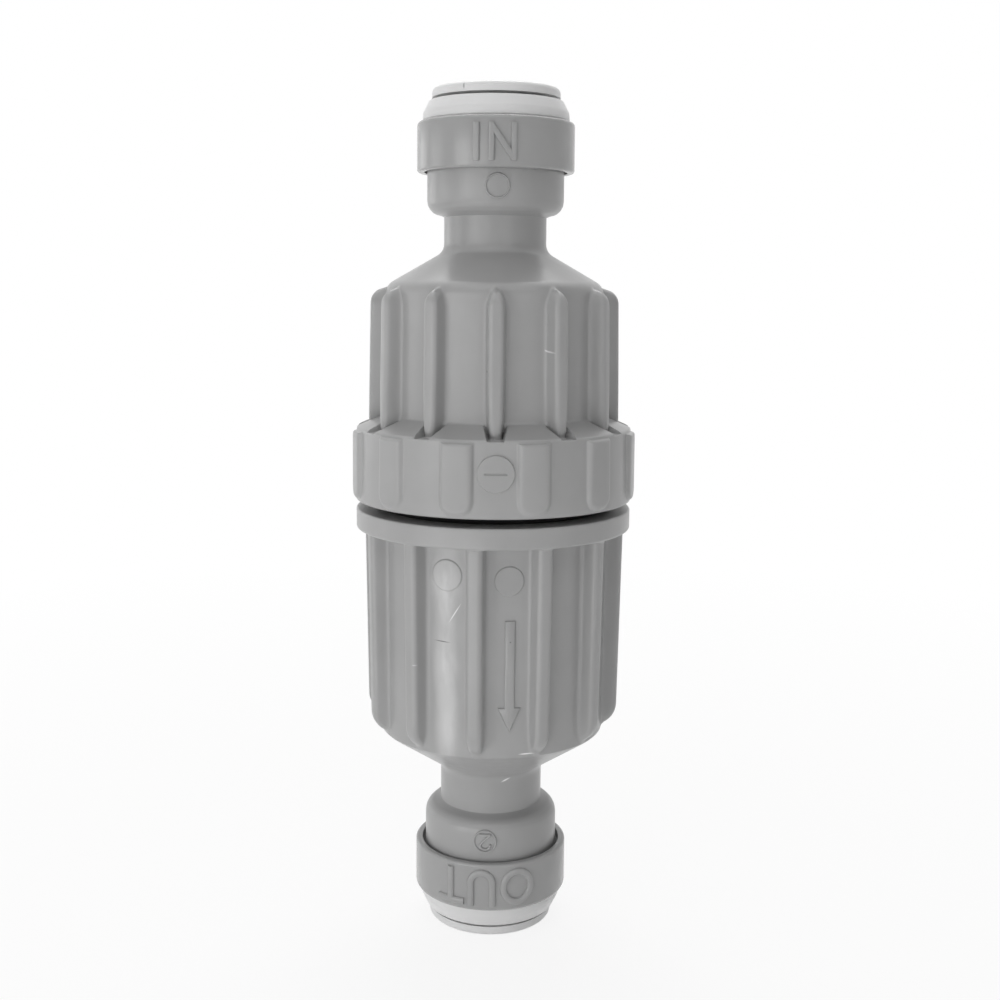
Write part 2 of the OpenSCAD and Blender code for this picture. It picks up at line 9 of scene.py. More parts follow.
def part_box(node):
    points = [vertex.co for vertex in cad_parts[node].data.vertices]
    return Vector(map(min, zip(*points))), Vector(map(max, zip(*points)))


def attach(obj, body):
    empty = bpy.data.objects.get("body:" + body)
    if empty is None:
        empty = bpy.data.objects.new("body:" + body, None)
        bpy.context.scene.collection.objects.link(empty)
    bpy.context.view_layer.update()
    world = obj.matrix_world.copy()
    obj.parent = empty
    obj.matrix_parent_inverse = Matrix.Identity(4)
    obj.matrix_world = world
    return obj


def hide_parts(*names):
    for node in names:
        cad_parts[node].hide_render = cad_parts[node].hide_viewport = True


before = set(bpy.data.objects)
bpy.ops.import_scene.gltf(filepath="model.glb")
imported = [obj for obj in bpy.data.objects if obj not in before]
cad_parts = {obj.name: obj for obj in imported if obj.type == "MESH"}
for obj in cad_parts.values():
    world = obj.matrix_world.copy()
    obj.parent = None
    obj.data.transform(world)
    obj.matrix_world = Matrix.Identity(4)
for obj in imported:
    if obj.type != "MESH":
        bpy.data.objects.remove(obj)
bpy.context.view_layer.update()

MM = 0.001
TAU = 2 * math.pi

# Heights of the object and the cap's radius in mm, from the boxes of the CAD nodes
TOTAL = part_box("inlet_collet")[1].z / MM
RING_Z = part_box("inlet_body")[0].z / MM
SPIGOT_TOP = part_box("outlet_body")[1].z / MM
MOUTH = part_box("outlet_body")[0].z / MM
CAP_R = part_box("outlet_cap")[1].x / MM

# Driving sizes in mm. The main ones are the part's own; edge roundings, fillets, notches and the
# retainer's rim are this scene's finer ones. First the ports, with places measured inward from the
# collet end.
FLOW_R = 4.6
BORE_R = 6.1
GLAND_R = 8.6
SOCKET_IN_R = 9.6
LEAD_R = 10.1
SOCKET_R = 11.2
RELIEF_R = 11.7
LEAD_Z = 8.5
LEAD_END_Z = 9.1
RELIEF_Z = 12.0
GLAND_Z = 14.3
POCKET_Z = 17.2
STOP_Z = 23.0
SHOULDER_Z = 18.0
SHOULDER_ROUND = 2.4
PORT_LEN = SHOULDER_Z + SHOULDER_ROUND
SHOULDER_SEAM = 0.15
MOUTH_EDGE = 0.3

# Cap
CAP_FACE_Z = 5.4
CAP_SEAT_Z = 7.4
CAP_SKIRT_Z = 13.5

# Retainer. Its face lies 0.04 mm deeper than the part's own, so that the pressed collet has room.
RETAINER_IN_R = 7.75
RETAINER_R = 9.55
RETAINER_FACE_Z = 2.44
RETAINER_END_Z = 13.0
RIM_IN_R = 10.55
RIM_R = 10.95
RIM_Z = 2.1
HEAD_BASE_R = 12.0
HEAD_SLOPE_R = 11.9
HEAD_SLOPE_Z = 4.0
BEAD_R = 10.05
BEAD_Z = 7.45
BEAD_TOP_Z = 7.8
BEAD_END_Z = 8.2
TIP_ROOM_R = 8.75
TIP_ROOM_Z = 10.05
TIP_LEAD_Z = 8.65

# Both halves
CORE_R = 3.0
DRAFT = math.tan(math.radians(1.0))
RIBS = 12
RIB_HALF = 1.25
RIB_SIDE_DRAFT = 0.12
DOME_FILLET = 2.2

# Outlet half
OUT_NECK_R = 8.6
OUT_DOME_Z = 27.0
OUT_WALL_R = 18.8
OUT_DOME_SLOPE = math.tan(math.radians(33.5))
OUT_WALL_Z = OUT_DOME_Z + (OUT_WALL_R - OUT_NECK_R) * OUT_DOME_SLOPE
OUT_DOME_EDGE = 0.6
OUT_BARREL = 34.25
OUT_CREST_R = 21.85
OUT_RIB_ROUND = 4.0
OUT_RIB_SETBACK = 0.4
OUT_RIB_EDGE = 0.85
OUT_RIB_NARROWING = 0.3
OUT_RIB_FILLET = 0.6
OUT_PHASE = -7.4
FLANGE_Z = OUT_WALL_Z + OUT_BARREL
FLANGE_TOP = FLANGE_Z + 3.4
FLANGE_R = 22.9
FLANGE_LOWER_EDGE = 0.45
FLANGE_UPPER_EDGE = 0.3
SPIGOT_R = 16.9
CHAMBER_R = 15.2
OUT_CHAMBER_Z = 34.97
OUT_FLOW_Z = 27.95
SEAL_LAND_R = 17.15
SEAL_LAND_Z = FLANGE_TOP + 2.9

# Inlet half
IN_NECK_R = 8.4
IN_WALL_R = 17.9
RING_H = 12.05
RING_TOP = RING_Z + RING_H
IN_BARREL = 23.25
IN_WALL_Z = RING_TOP + IN_BARREL
IN_DOME_SLOPE = math.tan(math.radians(30.0))
IN_DOME_Z = IN_WALL_Z + (IN_WALL_R - IN_NECK_R) * IN_DOME_SLOPE
IN_CREST_R = 20.85
IN_RIB_ROUND = 2.4
IN_RIB_SETBACK = 0.5
IN_RIB_EDGE = 0.8
IN_RIB_NARROWING = 0.7
IN_RIB_FILLET = 0.55
IN_PHASE = 0.8
IN_CHAMBER_R = 14.9
IN_CHAMBER_Z = 106.4
IN_FLOW_Z = 112.3
RING_R = 22.8
RING_FOOT_R = RING_R + RING_H * DRAFT
RING_ROUND = 0.55
RING_FOOT_EDGE = 0.4
RING_BORE_R = 18.0
RING_BORE_Z = 84.1
COUNTERBORE_R = 20.1
COUNTERBORE_Z = 74.35
FACET_RISE = 2.05
NOTCH_IN_HALF = 1.8
NOTCH_OUT_HALF = 1.25
NOTCH_FLOOR = RING_TOP - 0.15
PAD_HALF = 2.7
PAD_RISE = 0.8
PAD_ROUND = 1.4
PAD_FOOT = 0.4
PAD_TOP_DROP = PAD_RISE * math.tan(math.radians(28))

# Screw joint
THREAD_PITCH = 4.0
THREAD_DEPTH = 0.8
THREAD_PLAY = 0.5
THREAD_LEAN = THREAD_DEPTH / 2 * math.tan(math.radians(30))
THREAD_CLEAR = 0.7
THREAD_Z = SEAL_LAND_Z + THREAD_CLEAR
RING_THREAD_H = 5.6

# Half the height of the thin band of mesh that keeps a sharp edge sharp
TINY = 0.02
# Radius at which the mottling, blemishes and painted highlights and shade of a surface are laid flat
FLAT_R = 18.9
# How far a raised mark reaches into what carries it
SINK = 0.25


# Outlines and distances, all in mm


def rounded(corners):
    """The closed outline through corners (r, z, fillet radius), with each filleted corner as an arc."""
    steps = 5
    points = []
    n = len(corners)
    for i, (x, y, fillet) in enumerate(corners):
        here = np.array([x, y], float)
        if fillet <= 0:
            points.append(here)
            continue
        before = np.array(corners[i - 1][:2], float) - here
        after = np.array(corners[(i + 1) % n][:2], float) - here
        before /= np.linalg.norm(before)
        after /= np.linalg.norm(after)
        half = math.acos(max(-1, min(1, float(before @ after)))) / 2
        reach = fillet / math.tan(half)
        centre = here + (before + after) / np.linalg.norm(before + after) * fillet / math.sin(half)
        a, b = here + before * reach - centre, here + after * reach - centre
        turn = math.atan2(a[0] * b[1] - a[1] * b[0], float(a @ b))
        for k in range(steps + 1):
            c, s = math.cos(turn * k / steps), math.sin(turn * k / steps)
            points.append(centre + [a[0] * c - a[1] * s, a[0] * s + a[1] * c])
    return np.array(points)


class Outline:
    """Signed distance to a closed outline in the (r, z) plane, kept on a fine grid."""

    def __init__(self, points):
        cell, margin = 0.08, 5.0
        self.cell = cell
        self.low = np.array([-0.5, points[:, 1].min() - margin])
        high = points.max(axis=0) + margin
        nr, nz = (np.ceil((high - self.low) / cell)).astype(int) + 1
        r = self.low[0] + np.arange(nr) * cell
        z = self.low[1] + np.arange(nz) * cell
        grid_r, grid_z = np.meshgrid(r, z, indexing="ij")
        near = np.full(grid_r.shape, 1e9)
        inside = np.zeros(grid_r.shape, bool)
        for a, b in zip(points, np.roll(points, -1, axis=0)):
            d = b - a
            t = np.clip(((grid_r - a[0]) * d[0] + (grid_z - a[1]) * d[1]) / max(d @ d, 1e-12), 0, 1)
            near = np.minimum(near, (grid_r - a[0] - t * d[0]) ** 2 + (grid_z - a[1] - t * d[1]) ** 2)
            if a[1] != b[1]:
                crosses = (a[1] > grid_z) != (b[1] > grid_z)
                inside ^= crosses & (grid_r < a[0] + (grid_z - a[1]) * d[0] / d[1])
        self.grid = np.where(inside, -1, 1) * np.sqrt(near)

    def __call__(self, r, z):
        u = np.clip((r - self.low[0]) / self.cell, 0, self.grid.shape[0] - 1.001)
        v = np.clip((z - self.low[1]) / self.cell, 0, self.grid.shape[1] - 1.001)
        i, j = u.astype(int), v.astype(int)
        u, v = u - i, v - j
        g = self.grid
        return ((g[i, j] * (1 - u) + g[i + 1, j] * u) * (1 - v)
                + (g[i, j + 1] * (1 - u) + g[i + 1, j + 1] * u) * v)


def smooth_min(a, b, k):
    """Union of two distances with a fillet of width k."""
    h = np.maximum(k - np.abs(a - b), 0) / k
    return np.minimum(a, b) - h * h * k / 4


def smooth_max(a, b, k):
    """Intersection of two distances with a fillet of width k."""
    return -smooth_min(-a, -b, k)


def folded(theta, phase):
    """Angle from the nearest of the equal sectors, one for each rib, in radians."""
    step = TAU / RIBS
    a = theta - math.radians(phase)
    return a - np.round(a / step) * step


def rounded_both(a, b, radius):
    """Intersection of two distances with a rounded edge."""
    a, b = a + radius, b + radius
    return np.hypot(np.maximum(a, 0), np.maximum(b, 0)) + np.minimum(np.maximum(a, b), 0) - radius


def rib_distance(r, a, z, crest_r, crest_z, end_round, side, narrowing, edge, foot=0.0):
    """Distance to a rib with crest edges rounded by edge. Its crest passes crest_r at crest_z, where the
    rounded end begins and the rib's half width loses narrowing towards the tip. The end faces up if side
    is 1 and down if it is -1, and foot is what the half width loses at the rib's foot."""
    point_len = 0.8
    x, y = r * np.cos(a), np.abs(r * np.sin(a))
    along = (z - crest_z) * side
    crest = crest_r - np.minimum(along, 0) * DRAFT
    depth = rounded_both(x - crest, along - end_round, end_round)
    point = np.clip((along + point_len) / (end_round + point_len), 0, 1)
    half = RIB_HALF - foot - narrowing * point ** 2 + np.maximum(-depth - edge, 0) * RIB_SIDE_DRAFT
    return rounded_both(y - half, depth, np.minimum(edge, half))


def ray_radius(field, theta, z, r_high, r_low):
    """The outermost radius at which field turns from outside to inside, for each angle and height."""
    steps, halvings = 90, 14
    shape = np.broadcast(theta, z).shape
    theta, z = np.broadcast_to(theta, shape), np.broadcast_to(z, shape)
    r_high, r_low = np.broadcast_to(r_high, shape), np.broadcast_to(r_low, shape)
    outer, inner = r_high.astype(float).copy(), r_low.astype(float).copy()
    found = np.zeros(shape, bool)
    previous = outer.copy()
    for k in range(1, steps + 1):
        r = r_high + (r_low - r_high) * k / steps
        hit = (field(r, theta, z) <= 0) & ~found
        inner[hit], outer[hit] = r[hit], previous[hit]
        found |= hit
        previous = r
    for _ in range(halvings):
        middle = (outer + inner) / 2
        solid = field(middle, theta, z) <= 0
        inner = np.where(solid, middle, inner)
        outer = np.where(solid, outer, middle)
    return np.where(found, (outer + inner) / 2, r_low)


def search_radii(heights, stops):
    """The radius from which each height's surface is looked for, between stops (height, radius)."""
    return np.interp(heights, *zip(*stops))[:, None]


def spread(breaks):
    """Values with the given number of even steps between each pair of breaks [(value, steps), ...]."""
    values = []
    for (a, n), (b, _) in zip(breaks, breaks[1:]):
        values += [a + (b - a) * k / n for k in range(n)]
    return values + [breaks[-1][0]]


def columns(half_sector, phase):
    """Column angles in radians all round, from offsets in degrees over half a sector."""
    step = 360 / RIBS
    offsets = sorted({-a for a in half_sector if a} | set(half_sector))
    offsets = [a for a in offsets if a > -step / 2 + 1e-6]
    return np.radians(np.array([phase + i * step + a for i in range(RIBS) for a in offsets]))


# Meshes


def new_object(name, vertices, faces, body, smooth_angle=32):
    """A mesh object from vertices in mm, riding on a body."""
    mesh = bpy.data.meshes.new(name)
    mesh.from_pydata([tuple(v) for v in np.asarray(vertices) * MM], [], faces)
    mesh.validate()
    bm = bmesh.new()
    bm.from_mesh(mesh)
    bmesh.ops.remove_doubles(bm, verts=bm.verts, dist=1e-7)
    bmesh.ops.recalc_face_normals(bm, faces=bm.faces)
    limit = math.radians(smooth_angle)
    for edge in bm.edges:
        edge.smooth = len(edge.link_faces) == 2 and edge.calc_face_angle(0) < limit
    for face in bm.faces:
        face.smooth = True
    bm.to_mesh(mesh)
    bm.free()
    obj = bpy.data.objects.new(name, mesh)
    bpy.context.scene.collection.objects.link(obj)
    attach(obj, body)
    return obj


def turned_shell(outer_r, thetas, outer_z, inner_points):
    """Vertices and faces of a closed shell: a fine outer skin of radii outer_r[station, column], then an
    inner outline inner_points (r, z) from the skin's last station back to its first, with one column in
    coarse."""
    coarse = 4
    rows, cols = outer_r.shape
    verts = []
    for i in range(rows):
        r = outer_r[i]
        verts += list(zip(r * np.sin(thetas), -r * np.cos(thetas), np.full(cols, outer_z[i])))
    faces = []
    for i in range(rows - 1):
        for j in range(cols):
            k = (j + 1) % cols
            faces.append((i * cols + j, i * cols + k, (i + 1) * cols + k, (i + 1) * cols + j))
    picks = list(range(0, cols, coarse))
    base = len(verts)
    for r, z in inner_points:
        for j in picks:
            verts.append((r * math.sin(thetas[j]), -r * math.cos(thetas[j]), z))
    m = len(picks)
    for i in range(len(inner_points) - 1):
        for j in range(m):
            k = (j + 1) % m
            a = base + i * m
            faces.append((a + j, a + k, a + m + k, a + m + j))
    for row, ring in ((rows - 1, 0), (0, len(inner_points) - 1)):
        for j in range(m):
            k = (j + 1) % m
            end = picks[k] if k else cols
            span = [row * cols + (c % cols) for c in range(picks[j], end + 1)]
            faces.append(tuple(span + [base + ring * m + k, base + ring * m + j]))
    return verts, faces


def port_inner(flow_turn_z):
    """Inner outline of a port from its flow passage to its mouth, as (r, height above the collet end)."""
    return [(FLOW_R, flow_turn_z), (FLOW_R, STOP_Z), (BORE_R, STOP_Z), (BORE_R, POCKET_Z),
            (GLAND_R, POCKET_Z), (GLAND_R, GLAND_Z), (SOCKET_IN_R, GLAND_Z), (SOCKET_IN_R, LEAD_END_Z),
            (LEAD_R, LEAD_Z), (LEAD_R, MOUTH)]


# Columns of the outer skins, in degrees from a rib's middle: close together at the rib's flank, and on the
# inlet half at a pad's side too
FLANK_OFFSETS = [0, 0.8, 1.4, 1.9, 2.35, 2.7, 2.95, 3.15, 3.3, 3.45, 3.65, 3.9, 4.15, 4.4, 4.65, 4.95,
                 5.3, 5.8, 6.5]
RIB_OFFSETS = FLANK_OFFSETS + [7.6, 9.2, 11.2, 15.0]
RING_OFFSETS = FLANK_OFFSETS + [7.2, 7.7, 8.0, 8.2, 8.35, 8.5, 8.7, 8.95, 9.3, 9.7, 10.2, 10.9, 12.0,
                                13.4, 15.0]


def make_outlet_body():
    """Lower moulding with ribs blended into its wall, and the screwed spigot."""
    foot_r = OUT_WALL_R + OUT_BARREL * DRAFT / 2
    outline = rounded([
        (CORE_R, MOUTH, 0), (SOCKET_R, MOUTH, MOUTH_EDGE), (SOCKET_R, PORT_LEN, SHOULDER_ROUND),
        (OUT_NECK_R, PORT_LEN, SHOULDER_SEAM), (OUT_NECK_R, OUT_DOME_Z, DOME_FILLET),
        (OUT_WALL_R, OUT_WALL_Z, OUT_DOME_EDGE), (foot_r, FLANGE_Z, 0.25),
        (FLANGE_R, FLANGE_Z, FLANGE_LOWER_EDGE), (FLANGE_R, FLANGE_TOP, FLANGE_UPPER_EDGE),
        (SEAL_LAND_R, FLANGE_TOP, 0), (SEAL_LAND_R, SEAL_LAND_Z, 0.2), (SPIGOT_R, SEAL_LAND_Z + 0.4, 0.2),
        (SPIGOT_R, SPIGOT_TOP, 0.6), (CORE_R, SPIGOT_TOP, 0)])
    base = Outline(outline)
    rib_end_z = OUT_WALL_Z + OUT_RIB_ROUND + OUT_RIB_SETBACK
    crest_low = OUT_CREST_R - (FLANGE_Z - rib_end_z) * DRAFT

    def field(r, theta, z):
        a = folded(theta, OUT_PHASE)
        rib = rib_distance(r, a, z, crest_low, rib_end_z, OUT_RIB_ROUND, -1, OUT_RIB_NARROWING, OUT_RIB_EDGE)
        rib = np.maximum(rib, z - FLANGE_Z - 0.5)
        return smooth_min(base(r, z), rib, OUT_RIB_FILLET)

    heights = spread([
        (MOUTH + TINY, 3), (SHOULDER_Z, 12), (PORT_LEN - TINY, 1), (PORT_LEN + 0.25, 4),
        (OUT_DOME_Z - 1.2, 10), (OUT_DOME_Z + 1.6, 10), (OUT_WALL_Z - 1.2, 14), (rib_end_z + 0.4, 16),
        (FLANGE_Z - 0.6, 5), (FLANGE_Z - TINY, 1), (FLANGE_Z + TINY, 4), (FLANGE_Z + 0.5, 2),
        (FLANGE_TOP - 0.4, 4), (FLANGE_TOP - TINY, 1), (FLANGE_TOP + TINY, 3), (SEAL_LAND_Z - 0.2, 5),
        (SEAL_LAND_Z + 0.6, 4), (SPIGOT_TOP - 0.8, 5), (SPIGOT_TOP - TINY, 1)])
    z = np.array(heights)[:, None]
    thetas = columns(RIB_OFFSETS, OUT_PHASE)
    reach = search_radii(heights, [
        (PORT_LEN, 12.5), (OUT_DOME_Z, 14), (OUT_WALL_Z, 23), (FLANGE_Z - 0.01, 23), (FLANGE_Z, 24),
        (FLANGE_TOP, 24), (FLANGE_TOP + 0.01, 18.4)])
    radii = ray_radius(field, thetas[None, :], z, reach, np.maximum(reach - 11, 7.0))
    inner = [(CHAMBER_R, SPIGOT_TOP - TINY), (CHAMBER_R, OUT_CHAMBER_Z)] + port_inner(OUT_FLOW_Z)
    verts, faces = turned_shell(radii, thetas, heights, inner)
    body = new_object("outlet_body_shell", verts, faces, "housing")
    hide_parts("outlet_body")
    return body


def make_inlet_body():
    """Upper moulding: grip ring with pads, notches round the rib feet, ribs, dome, neck and socket."""
    foot_r = IN_WALL_R + IN_BARREL * DRAFT / 2
    neck_top, mouth_z = TOTAL - PORT_LEN, TOTAL - MOUTH
    outline = rounded([
        (CORE_R, RING_Z, 0), (RING_FOOT_R, RING_Z, RING_FOOT_EDGE), (RING_R, RING_TOP, RING_ROUND),
        (foot_r, RING_TOP + FACET_RISE, 0.35), (IN_WALL_R, IN_WALL_Z, DOME_FILLET),
        (IN_NECK_R, IN_DOME_Z, DOME_FILLET), (IN_NECK_R, neck_top, SHOULDER_SEAM),
        (SOCKET_R, neck_top, SHOULDER_ROUND), (SOCKET_R, mouth_z, MOUTH_EDGE), (CORE_R, mouth_z, 0)])
    base = Outline(outline)
    rib_end_z = IN_WALL_Z - IN_RIB_SETBACK - IN_RIB_ROUND
    crest_high = IN_CREST_R - (rib_end_z - RING_TOP) * DRAFT
    pad_centre_z = RING_Z + PAD_FOOT + PAD_HALF
    top_r, top_z = RING_R + PAD_RISE - RING_ROUND, RING_TOP - RING_ROUND - PAD_TOP_DROP

    def field(r, theta, z):
        a = folded(theta, IN_PHASE)
        x, y = r * np.cos(a), np.abs(r * np.sin(a))
        half = NOTCH_IN_HALF + (NOTCH_OUT_HALF - NOTCH_IN_HALF) * (x - foot_r) / (RING_R - foot_r)
        notch = np.maximum(np.maximum(y - half, NOTCH_FLOOR - z), foot_r + 0.1 - x)
        body = smooth_max(base(r, z), -notch, 0.2)
        foot = np.maximum(RING_TOP + 0.8 - z, 0)
        taper = 0.4 * np.clip((RING_TOP + 4 - z) / 4, 0, 1)
        rib = rib_distance(r, a, z, crest_high - 0.5 * foot ** 2, rib_end_z, IN_RIB_ROUND, 1,
                           IN_RIB_NARROWING, IN_RIB_EDGE, taper)
        rib = np.maximum(rib, NOTCH_FLOOR - 1 - z)
        body = smooth_min(body, rib, IN_RIB_FILLET)
        b = folded(theta, IN_PHASE + 180 / RIBS)
        px, py = r * np.cos(b), np.abs(r * np.sin(b))
        low = np.maximum(pad_centre_z - z, 0)
        side = (py ** 2.5 + low ** 2.5) ** 0.4 - PAD_HALF
        front = px - RING_FOOT_R - PAD_RISE + (z - pad_centre_z) * DRAFT
        pad = rounded_both(side, front, PAD_ROUND)
        pad = np.maximum(pad, RING_Z + 0.3 - z)
        top = np.hypot(np.maximum(r - top_r, 0), np.maximum(z - top_z, 0)) - RING_ROUND
        pad = smooth_max(pad, top, 0.2)
        return smooth_min(body, pad, 0.22)

    heights = spread([
        (RING_Z + TINY, 4), (RING_Z + 0.7, 16), (pad_centre_z, 4), (RING_TOP - 2.0, 16),
        (NOTCH_FLOOR - TINY, 1), (NOTCH_FLOOR + TINY, 8), (RING_TOP + 0.25, 10),
        (RING_TOP + FACET_RISE - 0.2, 5), (RING_TOP + FACET_RISE + 0.5, 5), (rib_end_z - 0.4, 16),
        (IN_WALL_Z + 0.4, 16), (IN_DOME_Z - 1.6, 10), (IN_DOME_Z + 1.4, 4), (neck_top - 0.25, 1),
        (neck_top + TINY, 12), (TOTAL - SHOULDER_Z, 3), (mouth_z - TINY, 1)])
    z = np.array(heights)[:, None]
    thetas = columns(RING_OFFSETS, IN_PHASE)
    reach = search_radii(heights, [
        (RING_Z, 25), (RING_TOP + 0.3, 24.5), (RING_TOP + FACET_RISE, 23), (IN_WALL_Z, 22), (IN_DOME_Z, 12),
        (neck_top, 12.5)])
    radii = ray_radius(field, thetas[None, :], z, reach, np.maximum(reach - 9, 7.0))
    inner = [(port_r, TOTAL - port_z) for port_r, port_z in reversed(port_inner(TOTAL - IN_FLOW_Z))]
    inner += [(IN_CHAMBER_R, IN_CHAMBER_Z), (IN_CHAMBER_R, RING_BORE_Z), (RING_BORE_R, RING_BORE_Z),
              (RING_BORE_R, COUNTERBORE_Z), (COUNTERBORE_R, COUNTERBORE_Z), (COUNTERBORE_R, RING_Z)]
    verts, faces = turned_shell(radii, thetas, heights, inner)
    body = new_object("inlet_body_shell", verts, faces, "inlet_half")
    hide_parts("inlet_body")
    return body


def thread_ridge(name, base_r, tip_r, z0, z1, ref_z, body):
    """The right-handed helical ridge of the screw joint, as in the part's source, with finer steps."""
    steps_per_turn = 96
    runout = 0.4
    side = 1 if tip_r > base_r else -1
    half = THREAD_PITCH / 4 - THREAD_PLAY / 2
    low, high = z0 + half + THREAD_LEAN, z1 - half - THREAD_LEAN
    steps = int(math.ceil((high - low) / THREAD_PITCH * steps_per_turn))
    run_r, root_r = base_r - side * 0.15, base_r - side * 0.3
    verts, faces = [], []
    for i in range(steps + 1):
        z = low + (high - low) * i / steps
        angle = (z - ref_z) / THREAD_PITCH * TAU
        h = min(1.0, (z - low) / runout, (high - z) / runout)
        r = run_r + (tip_r - run_r) * h
        tip = half + THREAD_LEAN - 2 * THREAD_LEAN * h
        for radius, dz in ((root_r, -half - THREAD_LEAN), (r, -tip), (r, tip), (root_r, half + THREAD_LEAN)):
            verts.append((radius * math.cos(angle), radius * math.sin(angle), z + dz))
        if i:
            p = 4 * i
            faces += [(p - 4 + k, p - 4 + (k + 1) % 4, p + (k + 1) % 4, p + k) for k in range(4)]
    faces += [(3, 2, 1, 0), tuple(4 * steps + k for k in range(4))]
    return new_object(name, verts, faces, body)


def revolved(name, corners, body, replaces, flip):
    """A port piece turned from corners (r, place inward from the collet end, fillet)."""
    count = 128
    outline = rounded([(r, TOTAL - place if flip else place, fillet) for r, place, fillet in corners])
    n = len(outline)
    verts, faces = [], []
    for j in range(count):
        t = TAU * j / count
        verts += [(r * math.sin(t), -r * math.cos(t), z) for r, z in outline]
        k = (j + 1) % count
        faces += [(j * n + i, k * n + i, k * n + (i + 1) % n, j * n + (i + 1) % n) for i in range(n)]
    obj = new_object(name, verts, faces, body)
    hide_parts(replaces)
    return obj


def make_port(side, flip, body):
    """Cap and retainer of one port, with their moulded edge rounding."""
    cap = revolved(side + "_cap_ring", [
        (SOCKET_IN_R, CAP_FACE_Z, 0.1), (CAP_R, CAP_FACE_Z, 0.7), (CAP_R, CAP_SKIRT_Z, 0.45),
        (RELIEF_R, CAP_SKIRT_Z, 0.15), (RELIEF_R, RELIEF_Z + 0.3, 0.1), (SOCKET_R, RELIEF_Z, 0.1),
        (SOCKET_R, CAP_SEAT_Z, 0), (SOCKET_IN_R, CAP_SEAT_Z, 0)], body, side + "_cap", flip)
    retainer = revolved(side + "_retainer_sleeve", [
        (RETAINER_IN_R, RETAINER_FACE_Z, 0.2), (RIM_IN_R, RETAINER_FACE_Z, 0.1), (RIM_IN_R, RIM_Z, 0.06),
        (RIM_R, RIM_Z, 0.25), (HEAD_SLOPE_R, HEAD_SLOPE_Z, 1.8), (HEAD_BASE_R, CAP_FACE_Z, 0.3),
        (RETAINER_R, CAP_FACE_Z, 0), (RETAINER_R, BEAD_Z, 0), (BEAD_R, BEAD_Z, 0), (BEAD_R, BEAD_TOP_Z, 0),
        (RETAINER_R, BEAD_END_Z, 0), (RETAINER_R, RETAINER_END_Z, 0), (TIP_ROOM_R, RETAINER_END_Z, 0),
        (TIP_ROOM_R, TIP_ROOM_Z, 0), (RETAINER_IN_R, TIP_LEAD_Z, 0)],
        body, side + "_retainer", flip)
    return cap, retainer


# Raised marks, drawn flat in mm as (right, up, out) and then wrapped on the surface


def wrapped(name, verts, faces, angle, z0, radius_at, body, slot, turn=1):
    """A flat mark laid round the axis at an angle in degrees from the front; turn -1 sets it upside down."""
    out = []
    for x, y, n in verts:
        z = z0 + y * turn
        radius = radius_at(z)
        t = math.radians(angle) + x * turn / radius
        out.append(((radius + n) * math.sin(t), -(radius + n) * math.cos(t), z))
    return new_object(name, out, faces, body, 50)


def stroke(path, width, height, edge, closed=False):
    """A raised line of rounded section along a path."""
    path = np.array(path, float)
    n = len(path)
    section = [(-width / 2, -SINK), (-width / 2, height - edge)]
    section += [(-width / 2 + edge * (1 - math.cos(t)), height - edge * (1 - math.sin(t)))
                for t in (0.5, 1.0, math.pi / 2)]
    section += [(-u, h) for u, h in reversed(section)]
    m = len(section)
    verts, faces = [], []
    for i in range(n):
        back = path[i] - path[i - 1] if closed or i else path[1] - path[0]
        ahead = path[(i + 1) % n] - path[i] if closed or i < n - 1 else back
        back, ahead = back / np.linalg.norm(back), ahead / np.linalg.norm(ahead)
        normal = np.array([-(back + ahead)[1], (back + ahead)[0]])
        normal /= np.linalg.norm(normal)
        reach = 1 / max(0.5, float(normal @ np.array([-back[1], back[0]])))
        for u, h in section:
            verts.append((*(path[i] + normal * u * reach), h))
    for i in range(n if closed else n - 1):
        k = (i + 1) % n
        faces += [(i * m + j, k * m + j, k * m + j + 1, i * m + j + 1) for j in range(m - 1)]
    if not closed:
        faces += [tuple(range(m)), tuple(range((n - 1) * m, n * m))]
    return verts, faces


def joined(*parts):
    """One mesh from several (vertices, faces)."""
    verts, faces = [], []
    for v, f in parts:
        faces += [tuple(i + len(verts) for i in face) for face in f]
        verts += v
    return verts, faces


def ring_path(rx, ry, count, x):
    """Points of an ellipse with its middle at (x, 0)."""
    return [(x + rx * math.cos(TAU * i / count), ry * math.sin(TAU * i / count)) for i in range(count)]


def line_path(a, b, steps=8):
    """Points at even steps from a to b."""
    return [(a[0] + (b[0] - a[0]) * i / steps, a[1] + (b[1] - a[1]) * i / steps) for i in range(steps + 1)]


def plate(outline, height, edge):
    """A raised flat shape with chamfered edges."""
    outline = np.array(outline, float)
    n = len(outline)
    inner = []
    for i in range(n):
        back, ahead = outline[i] - outline[i - 1], outline[(i + 1) % n] - outline[i]
        back, ahead = back / np.linalg.norm(back), ahead / np.linalg.norm(ahead)
        normal = np.array([-(back + ahead)[1], (back + ahead)[0]])
        normal /= np.linalg.norm(normal)
        inner.append(outline[i] + normal * edge / float(normal @ np.array([-back[1], back[0]])))
    verts = [(*p, -SINK) for p in outline] + [(*p, height - edge) for p in outline]
    verts += [(*p, height) for p in inner]
    faces = [tuple(range(2 * n, 3 * n))]
    for i in range(n):
        k = (i + 1) % n
        faces += [(i, k, n + k, n + i), (n + i, n + k, 2 * n + k, 2 * n + i)]
    return verts, faces


